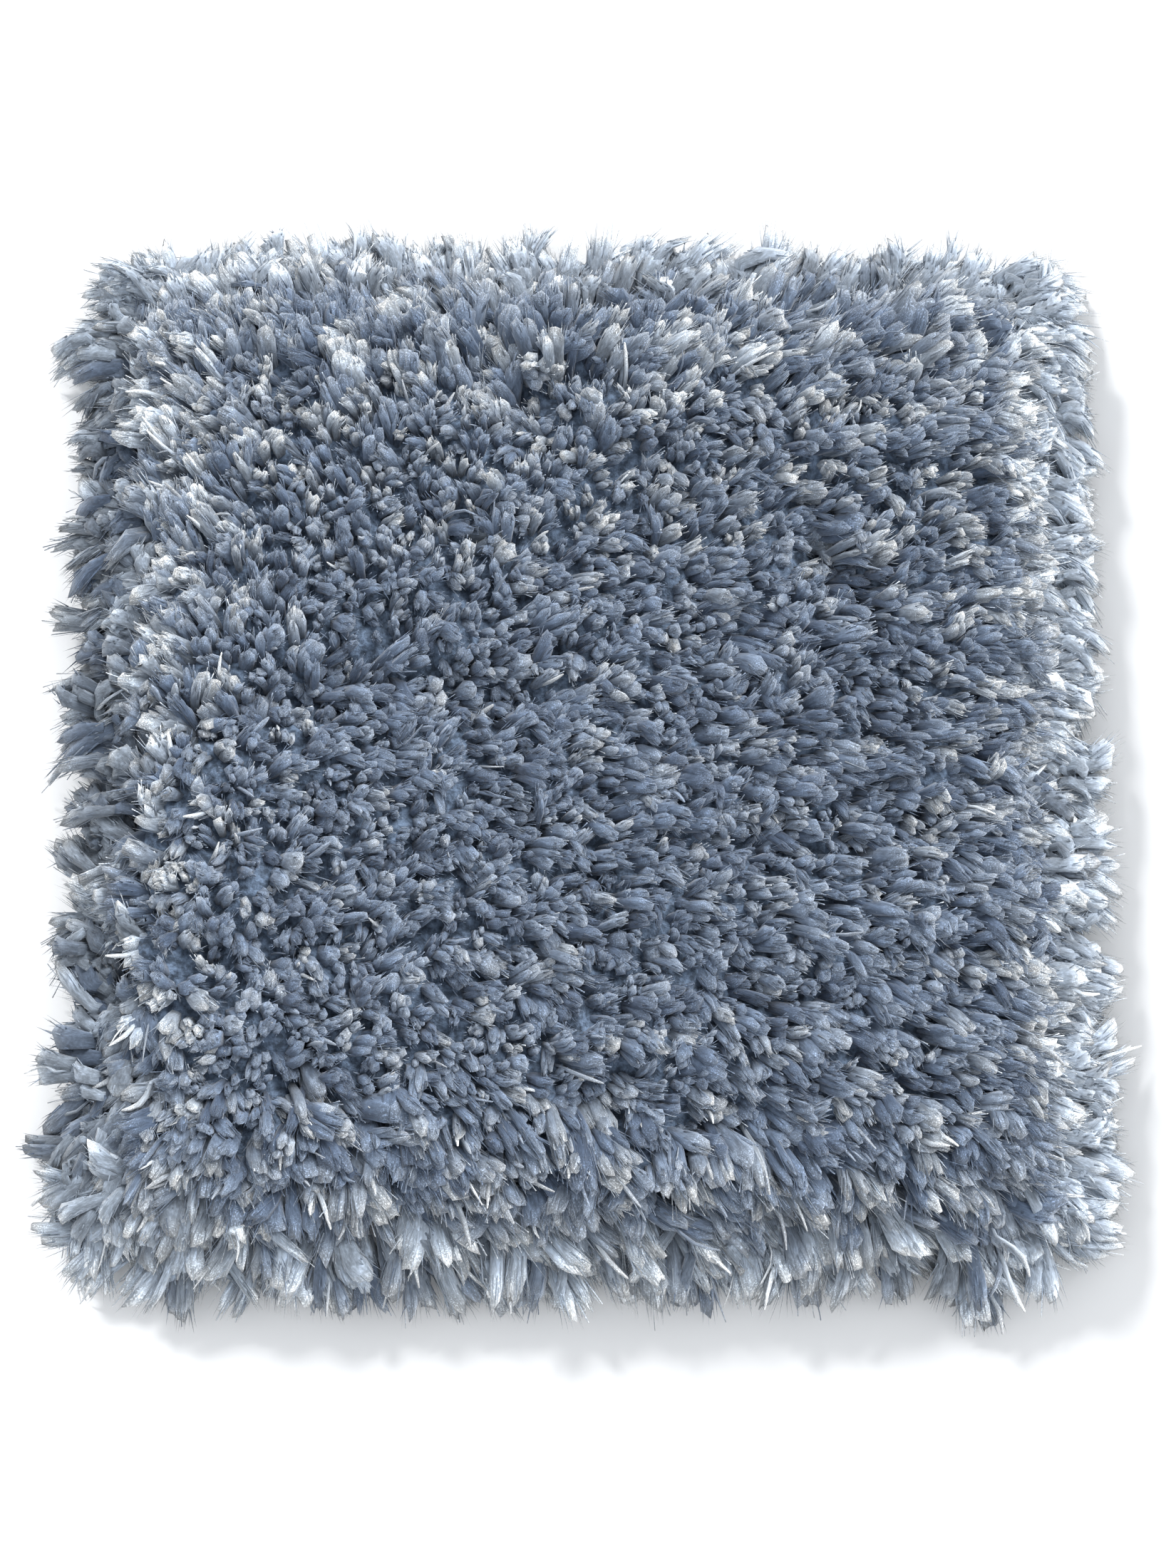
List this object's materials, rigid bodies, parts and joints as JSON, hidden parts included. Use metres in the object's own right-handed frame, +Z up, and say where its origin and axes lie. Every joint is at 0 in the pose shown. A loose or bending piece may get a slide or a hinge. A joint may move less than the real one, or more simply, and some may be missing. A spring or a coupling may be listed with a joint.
{
  "type": "velour carpet sample",
  "caption": "Square cut of thick blue-grey shag carpet with a soft cut pile, rounded corners and locks splaying out at its rim, lying flat on its cloth backing.",
  "frame": {"origin": "on the floor, under the middle of the carpet", "axes": "+Z up through the pile; X and Y along the square's sides"},
  "size_m": [0.203, 0.2028, 0.0337],
  "materials": {
    "pile": "soft cut yarn with a silky sheen, blue-grey, lighter at the ends of the tufts",
    "backing": "plain matt woven backing cloth"
  },
  "bodies": {
    "root": {"pile": "pile", "backing": "backing"}
  },
  "joints": []
}
